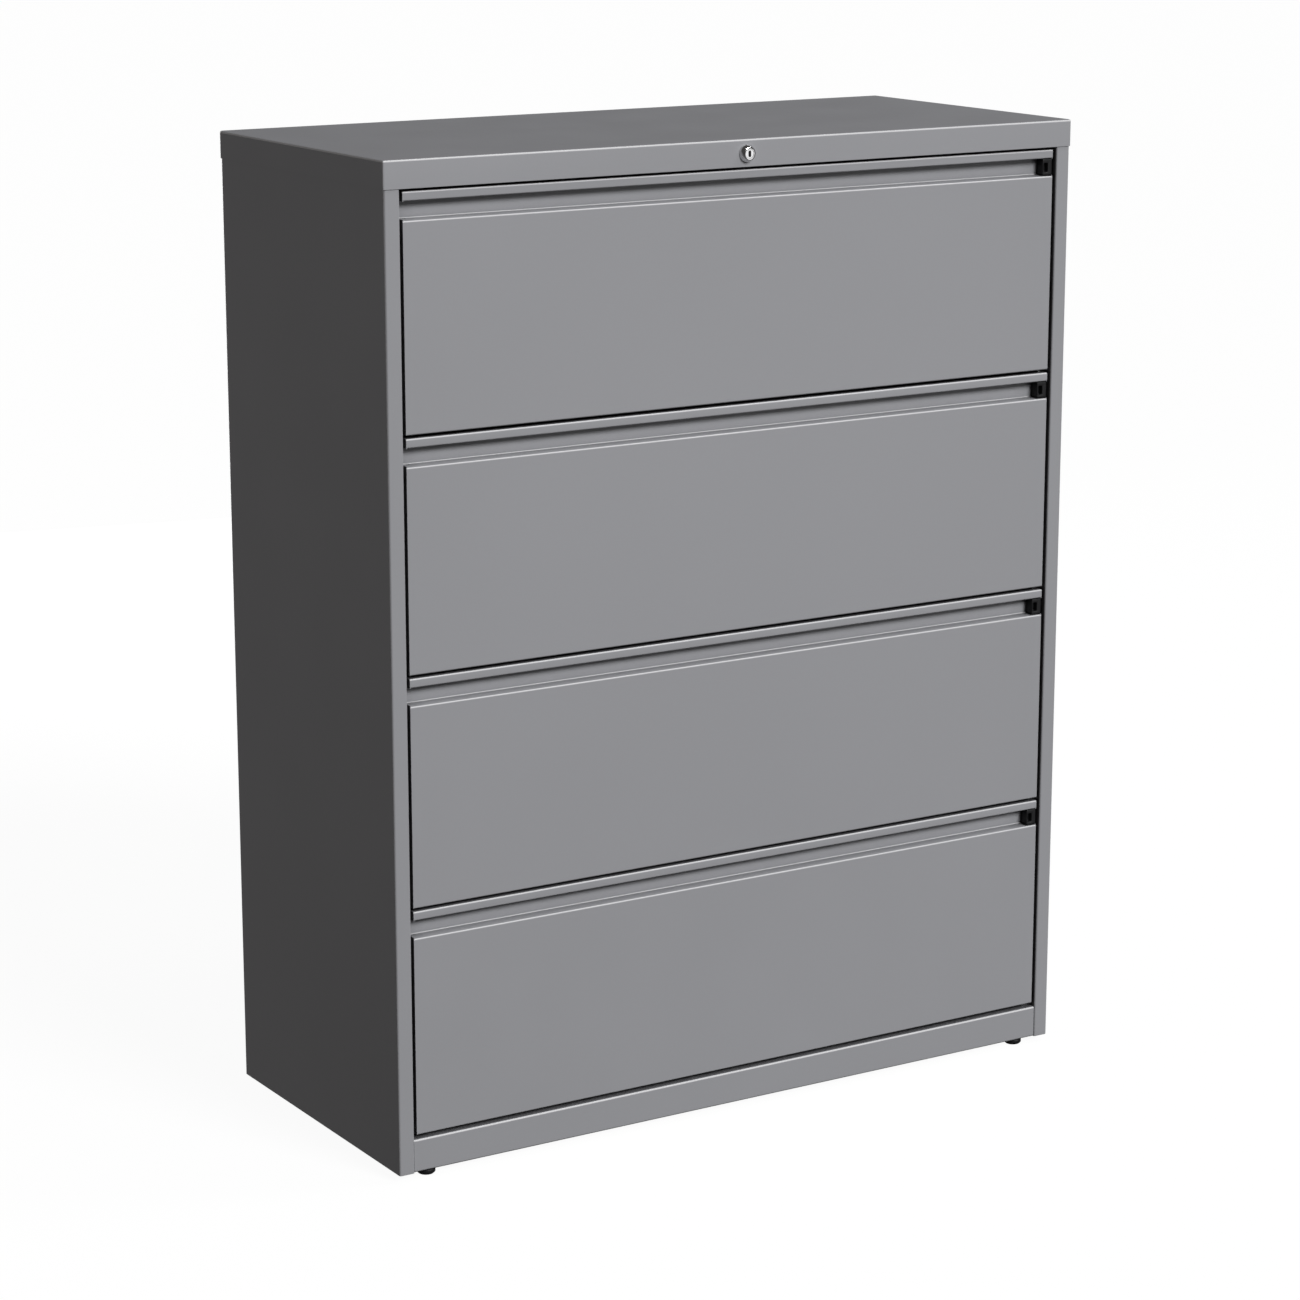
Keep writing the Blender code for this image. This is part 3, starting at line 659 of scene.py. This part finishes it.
def sun_light(name, toward, strength, angle):
    """Even light from one direction, which toward points back along."""
    light = bpy.data.lights.new(name, "SUN")
    light.energy = strength
    light.angle = angle
    obj = bpy.data.objects.new(name, light)
    bpy.context.scene.collection.objects.link(obj)
    obj.rotation_mode = "QUATERNION"
    obj.rotation_quaternion = Vector(toward).to_track_quat("Z", "Y")


def make_lights():
    world = bpy.data.worlds.new("studio")
    bpy.context.scene.world = world
    world.use_nodes = True
    sky = world.node_tree.nodes["Background"]
    sky.inputs["Color"].default_value = (1.0, 0.97, 0.94, 1.0)
    sky.inputs["Strength"].default_value = 0.06
    sun_light("key", (0.20, -0.80, 0.53), 3.25, math.radians(22))
    soft_light("rim", (2.6, -1.2, 5.0), (0.0, -0.2, 1.0), (1.2, 0.5), 60.0)
    soft_light("card", (2.35, -3.8, 0.4), (0.0, -0.2, 1.0), (1.6, 2.0), 11.0)
    warm = (1.0, 0.97, 0.95)
    soft_light("left_fill", (-5.0, 1.6, 0.9), (0.0, 0.0, 0.7), (2.4, 2.4), 38.0, warm)
    soft_light("rear_fill", (0.9, 4.0, 0.55), (0.0, 0.0, 0.6), (2.4, 1.4), 45.0)


# Where the camera stands, its turn to the right of straight ahead, its tilt down, and its lens and
# sensor in millimetres.
CAMERA_PLACE = Vector((-2.624, -4.214, 1.783))
CAMERA_YAW = math.radians(31.85)
CAMERA_PITCH = math.radians(13.35)
CAMERA_LENS = 101.2
CAMERA_SENSOR = 36.0
CAMERA_FAR = 200.0


def make_camera():
    camera = bpy.data.cameras.new("camera")
    camera.sensor_width = CAMERA_SENSOR
    camera.lens = CAMERA_LENS
    camera.clip_end = CAMERA_FAR
    obj = bpy.data.objects.new("camera", camera)
    bpy.context.scene.collection.objects.link(obj)
    obj.location = CAMERA_PLACE
    obj.rotation_euler = (math.pi / 2 - CAMERA_PITCH, 0.0, -CAMERA_YAW)
    bpy.context.scene.camera = obj


make_camera()
make_stage()
make_lights()
finish_cad_nodes()
make_pieces()
bpy.context.scene.view_settings.view_transform = "Standard"
